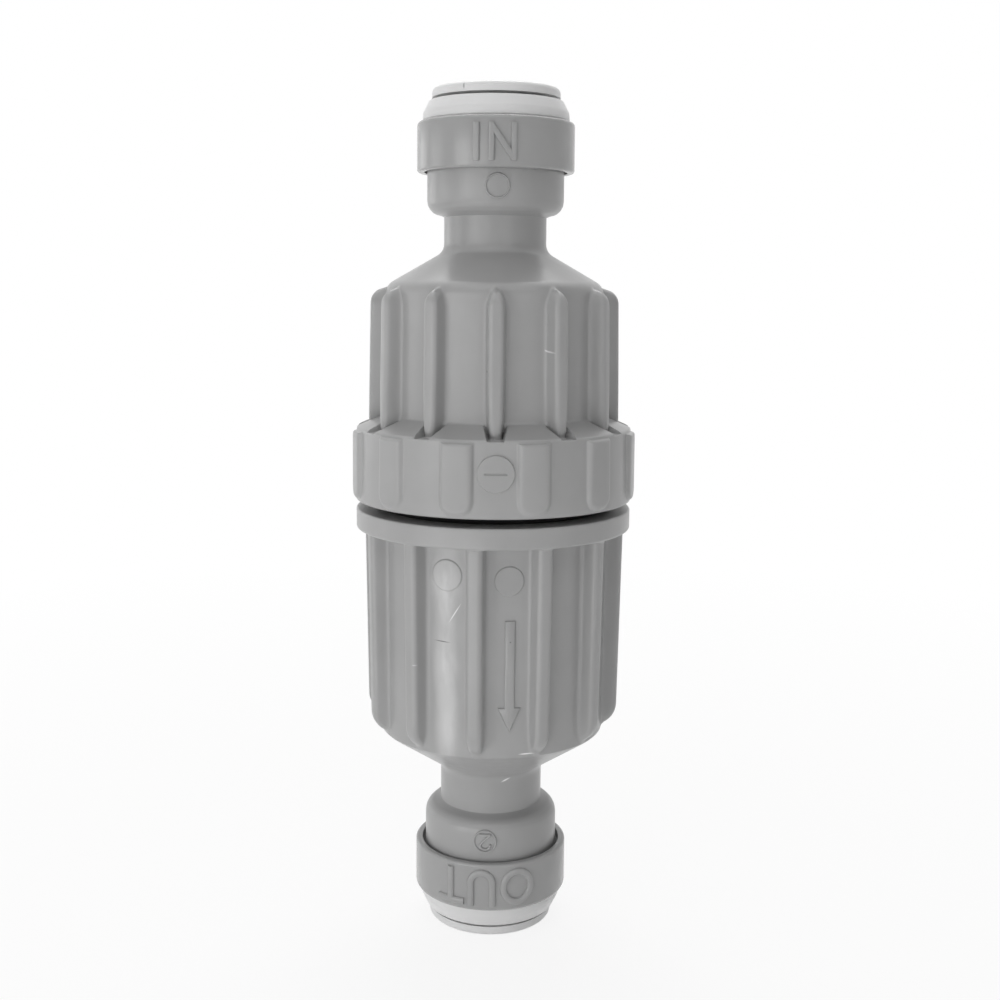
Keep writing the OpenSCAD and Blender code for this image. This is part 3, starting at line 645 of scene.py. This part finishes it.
def relief(half, height_at):
    """A square patch with heights height_at(x, y), closed underneath."""
    cell = 0.07
    n = int(2 * half / cell) + 1
    side = np.linspace(-half, half, n)
    x, y = np.meshgrid(side, side)
    verts = list(zip(x.ravel(), y.ravel(), height_at(x, y).ravel()))
    faces = [(j * n + i, j * n + i + 1, j * n + n + i + 1, j * n + n + i)
             for j in range(n - 1) for i in range(n - 1)]
    border = (list(range(n)) + [j * n + n - 1 for j in range(1, n)] + [n * n - 1 - i for i in range(1, n)]
              + [j * n for j in range(n - 2, 0, -1)])
    base, m = len(verts), len(border)
    verts += [(*verts[k][:2], -SINK) for k in border]
    faces += [(border[i], border[(i + 1) % m], base + (i + 1) % m, base + i) for i in range(m)]
    faces.append(tuple(range(base, base + m)))
    return verts, faces


def bank(depth, width=0.1):
    """0 outside an edge to 1 inside it, where depth is the distance inside."""
    t = np.clip(depth / width, 0, 1)
    return t * t * (3 - 2 * t)


def path_distance(x, y, path):
    """Distance from each point to the nearest part of a path."""
    near = np.full(x.shape, 1e9)
    for (ax, ay), (bx, by) in zip(path, path[1:]):
        t = np.clip(((x - ax) * (bx - ax) + (y - ay) * (by - ay)) / ((bx - ax) ** 2 + (by - ay) ** 2), 0, 1)
        near = np.minimum(near, np.hypot(x - ax - t * (bx - ax), y - ay - t * (by - ay)))
    return near


# Paths of the bar and of the figure 2 in the marks, and half the height of the letters IN
BAR = [(-1.6, 0), (1.6, 0)]
TWO = [(-0.82, 0.62), (-0.74, 0.98), (-0.42, 1.26), (0.02, 1.34), (0.48, 1.22), (0.74, 0.88), (0.7, 0.48),
       (0.42, 0.08), (-0.1, -0.42), (-0.82, -1.14), (0.9, -1.16)]
IN_TOP = 2.9


def make_marks():
    """Port letters, flow arrow, and the moulding marks the photograph shows."""
    def socket_r(z):
        rise = np.maximum(np.minimum(z, TOTAL - z) - SHOULDER_Z, 0)
        return SOCKET_R - SHOULDER_ROUND + math.sqrt(SHOULDER_ROUND ** 2 - rise ** 2)

    def cap_r(_):
        return CAP_R

    def wall_r(z):
        return OUT_WALL_R + (z - OUT_WALL_Z) * DRAFT / 2

    def ring_r(z):
        return RING_FOOT_R - (z - RING_Z) * DRAFT

    cap_marks, body_marks = [], []
    word = joined(stroke(line_path((-3.07, -IN_TOP), (-3.07, IN_TOP)), 1.0, 0.46, 0.2),
                  stroke(line_path((-0.70, -IN_TOP), (-0.70, IN_TOP)), 0.9, 0.46, 0.2),
                  stroke(line_path((2.78, -IN_TOP), (2.78, IN_TOP)), 0.9, 0.455, 0.2),
                  stroke(line_path((-0.72, IN_TOP - 0.35), (2.80, -IN_TOP + 0.35)), 0.9, 0.45, 0.2))
    cap_marks.append(wrapped("letters_in", *word, 0, 130.145, cap_r, "inlet_half", "cap_plastic"))
    u_turn = [(1.425 - 1.8 * math.cos(t), -0.775 - 1.8 * math.sin(t)) for t in np.linspace(0, math.pi, 21)]
    u_path = line_path((-0.375, 3.1), (-0.375, -0.6), 5) + u_turn + line_path((3.225, -0.6), (3.225, 3.1), 5)
    thick = dict(width=1.15, edge=0.42)
    word = joined(stroke(ring_path(2.4, 2.6, 56, -4.585), height=0.52, closed=True, **thick),
                  stroke(u_path, height=0.52, **thick),
                  stroke(line_path((4.40, 2.6), (9.10, 2.6)), height=0.52, **thick),
                  stroke(line_path((6.75, 2.5), (6.75, -3.1)), height=0.51, **thick))
    cap_marks.append(wrapped("letters_out", *word, 0, 9.565, cap_r, "housing", "cap_plastic", -1))
    arrow = plate([(0.8, 9.13), (0, 9.13), (-0.8, 9.13), (-0.8, 2), (-0.8, -4.9), (-1.8, -4.9), (0, -8.82),
                   (1.8, -4.9), (0.8, -4.9), (0.8, 2)], 0.38, 0.16)
    body_marks.append(wrapped("flow_arrow", *arrow, 8.5, 47.0, wall_r, "housing", "body_plastic"))

    def disc(radius, rise=0.42, width=0.16):
        return lambda x, y: rise * bank(radius - np.hypot(x, y), width) - 0.06

    def circle(radius):
        return lambda x, y: 0.34 * bank(0.22 - np.abs(np.hypot(x, y) - radius), 0.16) - 0.06

    def barred(x, y):
        return disc(2.95)(x, y) - 0.24 * bank(0.22 - path_distance(x, y, BAR), 0.15)

    def numbered(x, y):
        return np.maximum(circle(1.8)(x, y), 0.44 * bank(0.28 - path_distance(x, y, TWO), 0.2) - 0.06)

    for name, angle, z, half, height_at, radius_at, body, turn in (
            ("mark_socket_in", 1.5, 123.56, 2.1, circle(1.85), socket_r, "inlet_half", 1),
            ("mark_ring", 1.0, 79.83, 3.05, barred, ring_r, "inlet_half", 1),
            ("mark_barrel_right", 8.0, 62.47, 2.6, disc(2.5, 0.24, 0.3), wall_r, "housing", 1),
            ("mark_barrel_left", -22.0, 63.11, 2.8, disc(2.7, 0.24, 0.35), wall_r, "housing", 1),
            ("mark_socket_out", -4.5, 16.86, 2.1, numbered, socket_r, "housing", -1)):
        patch = relief(half, height_at)
        body_marks.append(wrapped(name, *patch, angle, z, radius_at, body, "body_plastic", turn))
    return cap_marks, body_marks


# Materials


def material(name, rgb, roughness, build=None, **sockets):
    """A Principled material with constant sockets, to which build(nodes, links, shader, coords) adds its
    texture."""
    mat = bpy.data.materials.new(name)
    mat.use_nodes = True
    nodes, links = mat.node_tree.nodes, mat.node_tree.links
    shader = nodes["Principled BSDF"]
    shader.inputs["Base Color"].default_value = (*rgb, 1)
    shader.inputs["Roughness"].default_value = roughness
    for socket, value in sockets.items():
        shader.inputs[socket.replace("_", " ")].default_value = value
    coords = nodes.new("ShaderNodeTexCoord").outputs["Object"]
    if build:
        build(nodes, links, shader, coords)
    return mat


def noise(nodes, links, coords, scale, detail=3.0, stretch=None):
    """A noise texture's value, on coordinates in metres, optionally stretched along an axis."""
    if stretch:
        mapping = nodes.new("ShaderNodeMapping")
        mapping.inputs["Scale"].default_value = stretch
        links.new(coords, mapping.inputs["Vector"])
        coords = mapping.outputs["Vector"]
    node = nodes.new("ShaderNodeTexNoise")
    node.inputs["Scale"].default_value = scale
    node.inputs["Detail"].default_value = detail
    links.new(coords, node.inputs["Vector"])
    return node.outputs["Fac"]


def remap(nodes, links, value, low, high, to_low, to_high):
    """A value taken evenly from the range low to high into the range to_low to to_high."""
    node = nodes.new("ShaderNodeMapRange")
    for socket, number in (("From Min", low), ("From Max", high), ("To Min", to_low), ("To Max", to_high)):
        node.inputs[socket].default_value = number
    links.new(value, node.inputs["Value"])
    return node.outputs["Result"]


def ramp(nodes, links, value, stops):
    """A colour for a value, between stops (position, colour)."""
    node = nodes.new("ShaderNodeValToRGB")
    elements = node.color_ramp.elements
    while len(elements) < len(stops):
        elements.new(0.5)
    for element, (position, rgb) in zip(elements, stops):
        element.position = position
        element.color = (*rgb, 1)
    links.new(value, node.inputs["Fac"])
    return node.outputs["Color"]


def grey(value):
    """Linear colour of an sRGB grey level from 0 to 1."""
    return (((value + 0.055) / 1.055) ** 2.4,) * 3


def bump(nodes, links, shader, value, strength, distance):
    """Uneven shading normals from a value; distance is in metres."""
    node = nodes.new("ShaderNodeBump")
    node.inputs["Strength"].default_value = strength
    node.inputs["Distance"].default_value = distance
    links.new(value, node.inputs["Height"])
    links.new(node.outputs["Normal"], shader.inputs["Normal"])


def mixed(nodes, links, share, below, above):
    """Colour below, giving way to the plain colour above as share goes to 1."""
    node = nodes.new("ShaderNodeMix")
    node.data_type = "RGBA"
    links.new(share, node.inputs[0])
    links.new(below, node.inputs[6])
    node.inputs[7].default_value = (*above, 1)
    return node.outputs[2]


def product(nodes, links, a, b):
    """a times b, where b may be a plain number."""
    node = nodes.new("ShaderNodeMath")
    node.operation = "MULTIPLY"
    links.new(a, node.inputs[0])
    if isinstance(b, float):
        node.inputs[1].default_value = b
    else:
        links.new(b, node.inputs[1])
    return node.outputs[0]


def length_of(nodes, links, vector):
    """Length of a vector."""
    node = nodes.new("ShaderNodeVectorMath")
    node.operation = "LENGTH"
    links.new(vector, node.inputs[0])
    return node.outputs["Value"]


def unrolled(nodes, links, coords):
    """The surface of the turned body laid flat: arc to the right of the front line, and height, in metres."""
    split = nodes.new("ShaderNodeSeparateXYZ")
    links.new(coords, split.inputs[0])
    angle = nodes.new("ShaderNodeMath")
    angle.operation = "ARCTAN2"
    links.new(split.outputs[0], angle.inputs[0])
    links.new(product(nodes, links, split.outputs[1], -1.0), angle.inputs[1])
    flat = nodes.new("ShaderNodeCombineXYZ")
    links.new(product(nodes, links, angle.outputs[0], FLAT_R * MM), flat.inputs[0])
    links.new(split.outputs[2], flat.inputs[1])
    return flat.outputs[0]


def spot(nodes, links, flat, angle, z, half_arc, half_z, tilt, soft):
    """1 inside a tilted ellipse on the unrolled surface, fading over its outer share."""
    node = nodes.new("ShaderNodeMapping")
    node.vector_type = "TEXTURE"
    node.inputs["Location"].default_value = (math.radians(angle) * FLAT_R * MM, z * MM, 0)
    node.inputs["Rotation"].default_value = (0, 0, math.radians(tilt))
    node.inputs["Scale"].default_value = (half_arc * MM, half_z * MM, 1)
    links.new(flat, node.inputs["Vector"])
    return remap(nodes, links, length_of(nodes, links, node.outputs[0]), 1 - soft, 1, 1, 0)


def moulded(level, spread_level, rough, spots=()):
    """Texture of a moulded plastic: faint clouding in colour and gloss, a very fine uneven skin, and
    spots of changed colour (angle, z, half arc, half height, tilt, softness, change of level, blotchy), which
    are blemishes and, on the body, also painted highlights and a painted dark reflection."""
    def build(nodes, links, shader, coords):
        cloud = noise(nodes, links, coords, 90, 4)
        colour = ramp(nodes, links, cloud,
                      [(0.3, grey(level - spread_level)), (0.7, grey(level + spread_level))])
        flat = unrolled(nodes, links, coords) if spots else None
        for angle, z, half_arc, half_z, tilt, soft, change, blotchy in spots:
            share = spot(nodes, links, flat, angle, z, half_arc, half_z, tilt, soft)
            if blotchy:
                streak = noise(nodes, links, coords, 160, 5, (1, 1, 0.35))
                share = product(nodes, links, share, remap(nodes, links, streak, 0.38, 0.58, 0, 1))
            colour = mixed(nodes, links, share, colour, grey(level + change))
        links.new(colour, shader.inputs["Base Color"])
        fine = noise(nodes, links, coords, 700, 4)
        gloss = remap(nodes, links, fine, 0.3, 0.7, rough - 0.03, rough + 0.05)
        links.new(gloss, shader.inputs["Roughness"])
        skin = noise(nodes, links, coords, 260, 2)
        bump(nodes, links, shader, skin, 0.05, 0.0001)
    return build


def brushed(low, high, rough):
    """Texture of drawn stainless sheet: fine marks round the axis in colour, gloss and height."""
    def build(nodes, links, shader, coords):
        drawn = noise(nodes, links, coords, 900, 4, (0.06, 0.06, 1))
        colour = ramp(nodes, links, drawn, [(0.3, (low,) * 3), (0.7, (high,) * 3)])
        gloss = remap(nodes, links, drawn, 0.3, 0.7, rough + 0.08, rough - 0.06)
        links.new(colour, shader.inputs["Base Color"])
        links.new(gloss, shader.inputs["Roughness"])
        bump(nodes, links, shader, drawn, 0.2, 0.00005)
    return build


def paint(obj, mat):
    """Give a made piece its material."""
    obj.data.materials.clear()
    obj.data.materials.append(mat)


def paint_node(name, mat):
    """Give a CAD node that the scene shows as it is a material."""
    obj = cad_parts[name]
    for slot in obj.material_slots:
        slot.material = mat
    if not obj.material_slots:
        obj.data.materials.append(mat)


# Scene


# The camera fitted to the photograph's outlines: focal length as a multiple of the sensor's width, shift as a
# share of it, place in metres, and degrees of looking down and of roll
FOCAL = 1.3433
CAMERA_SHIFT = (0.00648, -0.05)
CAMERA_AT = (0, -0.2237, 0.10834)
CAMERA_PITCH = 7.04
CAMERA_ROLL = 0.47


def make_camera():
    """The photograph's view: from the front, a little above the seam, at short range."""
    data = bpy.data.cameras.new("camera")
    data.sensor_width = 36
    data.lens = data.sensor_width * FOCAL
    data.shift_x, data.shift_y = CAMERA_SHIFT
    data.clip_start = 0.01
    camera = bpy.data.objects.new("camera", data)
    camera.location = CAMERA_AT
    pitch, roll = math.radians(CAMERA_PITCH), math.radians(CAMERA_ROLL)
    camera.rotation_mode = "QUATERNION"
    look = Vector((0, math.cos(pitch), -math.sin(pitch)))
    base = look.to_track_quat("-Z", "Y")
    camera.rotation_quaternion = base @ Quaternion((0, 0, 1), roll)
    bpy.context.scene.collection.objects.link(camera)
    bpy.context.scene.camera = camera


def area_light(name, azimuth, elevation, distance, size, power):
    """A white square lamp aimed at the middle of the strainer. Azimuth is in degrees from the front,
    positive to the right; distance and size are in metres."""
    data = bpy.data.lights.new(name, "AREA")
    data.shape = "SQUARE"
    data.size = size
    data.energy = power
    lamp = bpy.data.objects.new(name, data)
    a, e = math.radians(azimuth), math.radians(elevation)
    target = Vector((0, 0, 0.075))
    towards = Vector((math.sin(a) * math.cos(e), -math.cos(a) * math.cos(e), math.sin(e)))
    lamp.location = target + distance * towards
    lamp.rotation_mode = "QUATERNION"
    lamp.rotation_quaternion = (target - lamp.location).to_track_quat("-Z", "Y")
    lamp.visible_camera = False
    bpy.context.scene.collection.objects.link(lamp)


# Lamps: name, azimuth, elevation, distance, size and power in watts
LAMPS = [
    ("key_left", -48, 0, 0.9, 0.35, 1.1), ("front_left", -24, 0, 0.9, 0.35, 0.65),
    ("front_right", 24, 0, 0.9, 0.35, 0.36), ("side_left", -95, 0, 0.9, 0.35, 0.5),
    ("back_low_left", -130, 0, 0.9, 0.35, 0.45), ("top_front", 0, 62, 0.9, 0.9, 1.9),
    ("top_left", -47, 62, 0.9, 0.8, 0.6), ("back_left", -130, 62, 0.9, 0.6, 1.1),
    ("back_right", 130, 62, 0.9, 0.6, 1.1), ("back_top", 180, 62, 0.9, 0.5, 3.2),
    ("low_left", -44, -21, 0.16, 0.05, 0.016), ("low_front", -17, -21, 0.16, 0.04, 0.014),
]


def make_light():
    """All the lamps round the strainer."""
    for lamp in LAMPS:
        area_light(*lamp)


def seen_from_outside(nodes, links):
    """1 for camera, glossy and transmission rays, which see the plain white surroundings."""
    path = nodes.new("ShaderNodeLightPath")
    total = path.outputs["Is Camera Ray"]
    for name in ("Is Glossy Ray", "Is Transmission Ray"):
        add = nodes.new("ShaderNodeMath")
        add.operation = "MAXIMUM"
        links.new(total, add.inputs[0])
        links.new(path.outputs[name], add.inputs[1])
        total = add.outputs[0]
    return total


def make_world():
    """White surroundings: full strength where seen from outside, faint as light on the strainer."""
    soft_strength = 0.12
    world = bpy.data.worlds.new("studio")
    bpy.context.scene.world = world
    world.use_nodes = True
    nodes, links = world.node_tree.nodes, world.node_tree.links
    nodes.clear()
    out = nodes.new("ShaderNodeOutputWorld")
    mix = nodes.new("ShaderNodeMixShader")
    for i, strength in ((1, soft_strength), (2, 1.0)):
        light = nodes.new("ShaderNodeBackground")
        light.inputs["Color"].default_value = (1, 1, 1, 1)
        light.inputs["Strength"].default_value = strength
        links.new(light.outputs[0], mix.inputs[i])
    links.new(seen_from_outside(nodes, links), mix.inputs["Fac"])
    links.new(mix.outputs[0], out.inputs["Surface"])


def make_floor():
    """A plain white floor. Seen from outside it is plain white, with a share of its own lit paint near the
    strainer, where the shadow falls; away from it that share fades out, so that no horizon shows."""
    mesh = bpy.data.meshes.new("floor")
    half = 1.5
    corners = [(-half, -half, 0), (half, -half, 0), (half, half, 0), (-half, half, 0)]
    mesh.from_pydata(corners, [], [(0, 1, 2, 3)])
    floor = bpy.data.objects.new("floor", mesh)
    floor.location.z = -0.0002
    bpy.context.scene.collection.objects.link(floor)
    mat = material("floor_paint", (0.9, 0.9, 0.9), 0.7)
    nodes, links = mat.node_tree.nodes, mat.node_tree.links
    coords = nodes.new("ShaderNodeTexCoord").outputs["Object"]
    share = remap(nodes, links, length_of(nodes, links, coords), 0.08, 0.3, 0.86, 1.0)
    seen = product(nodes, links, share, seen_from_outside(nodes, links))
    white = nodes.new("ShaderNodeEmission")
    white.inputs["Color"].default_value = (1, 1, 1, 1)
    white.inputs["Strength"].default_value = 1.0
    mix = nodes.new("ShaderNodeMixShader")
    links.new(seen, mix.inputs["Fac"])
    links.new(nodes["Principled BSDF"].outputs[0], mix.inputs[1])
    links.new(white.outputs[0], mix.inputs[2])
    links.new(mix.outputs[0], nodes["Material Output"].inputs["Surface"])
    floor.data.materials.append(mat)


# Blemishes and painted light on the body, as spots of changed colour: scratches, a nick, a chip and dots, and
# painted highlights and a painted dark reflection. Angle, z, half arc and half height in mm, tilt, softness,
# change of level, blotchy
BODY_BLEMISHES_AND_PAINTED_LIGHT = [
    # The first three: a painted highlight, the blotchy bright sheen streak down the left bay
    (-22.2, 61.0, 3.0, 7.5, 0, 0.8, 0.2, True), (-22.2, 50.0, 2.8, 11.0, 0, 0.8, 0.16, True),
    (-21.5, 38.5, 2.8, 9.0, 0, 0.8, 0.14, True),
    (-18.0, 57.1, 0.13, 2.2, -32, 0.6, 0.22, False), (-24.5, 52.4, 1.6, 0.12, -3, 0.6, -0.2, False),
    # Painted highlights: a bright line along the wall's edge to the lower dome, and a bright smear on the
    # lower neck's fillet
    (17.3, 34.4, 1.5, 0.15, 0, 0.6, 0.3, False), (16.5, 26.4, 2.0, 0.22, 12, 0.7, 0.3, False),
    (-35.0, 48.5, 0.35, 0.14, 0, 0.6, 0.15, False), (26.4, 98.1, 0.5, 0.16, -35, 0.6, 0.2, False),
    (-3.25, 95.1, 0.2, 0.2, 0, 0.5, -0.15, False), (8.6, 52.8, 0.16, 0.16, 0, 0.5, -0.15, False),
    # Painted dark reflection: a blotchy darker smudge at the right of the upper neck's foot, in place of the
    # dome's reflection
    (28.0, 114.5, 4.5, 0.6, 0, 0.9, -0.08, True),
]
WHITE_SPOTS = [(-29.2, 139.0, 0.35, 0.6, 8, 0.7, -0.25, False)]


def make_materials():
    """The five materials of the strainer."""
    body = material("body_plastic", grey(0.665), 0.31, moulded(0.665, 0.012, 0.31, BODY_BLEMISHES_AND_PAINTED_LIGHT))
    cap = material("cap_plastic", grey(0.66), 0.21, moulded(0.66, 0.012, 0.21))
    white = material("collet_plastic", grey(0.93), 0.34, moulded(0.93, 0.008, 0.34, WHITE_SPOTS))
    rubber = material("seal_rubber", grey(0.07), 0.5, moulded(0.07, 0.015, 0.5))
    steel = material("element_steel", (0.62, 0.62, 0.63), 0.3, brushed(0.5, 0.68, 0.3), Metallic=1.0)
    return {"body": body, "cap": cap, "white": white, "rubber": rubber, "steel": steel}


def main():
    """The whole scene round the frame."""
    bpy.context.scene.view_settings.view_transform = "Standard"
    mats = make_materials()
    paint(make_outlet_body(), mats["body"])
    paint(make_inlet_body(), mats["body"])
    paint(thread_ridge("spigot_thread", SPIGOT_R, SPIGOT_R + THREAD_DEPTH, THREAD_Z,
                       SPIGOT_TOP - THREAD_CLEAR, FLANGE_TOP, "housing"), mats["body"])
    paint(thread_ridge("ring_thread", RING_BORE_R, RING_BORE_R - THREAD_DEPTH, THREAD_Z,
                       THREAD_Z + RING_THREAD_H, FLANGE_TOP + THREAD_PITCH / 2, "inlet_half"), mats["body"])
    for side, flip, carrier in (("outlet", False, "housing"), ("inlet", True, "inlet_half")):
        cap, retainer = make_port(side, flip, carrier)
        paint(cap, mats["cap"])
        paint(retainer, mats["white"])
    cap_marks, body_marks = make_marks()
    for mark in cap_marks:
        paint(mark, mats["cap"])
    for mark in body_marks:
        paint(mark, mats["body"])
    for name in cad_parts:
        if "collet_teeth" in name or "mesh" in name:
            paint_node(name, mats["steel"])
        elif "seal" in name:
            paint_node(name, mats["rubber"])
        elif "collet" in name or "spacer" in name or name.startswith("strainer"):
            paint_node(name, mats["white"])
    make_camera()
    make_light()
    make_world()
    make_floor()


main()
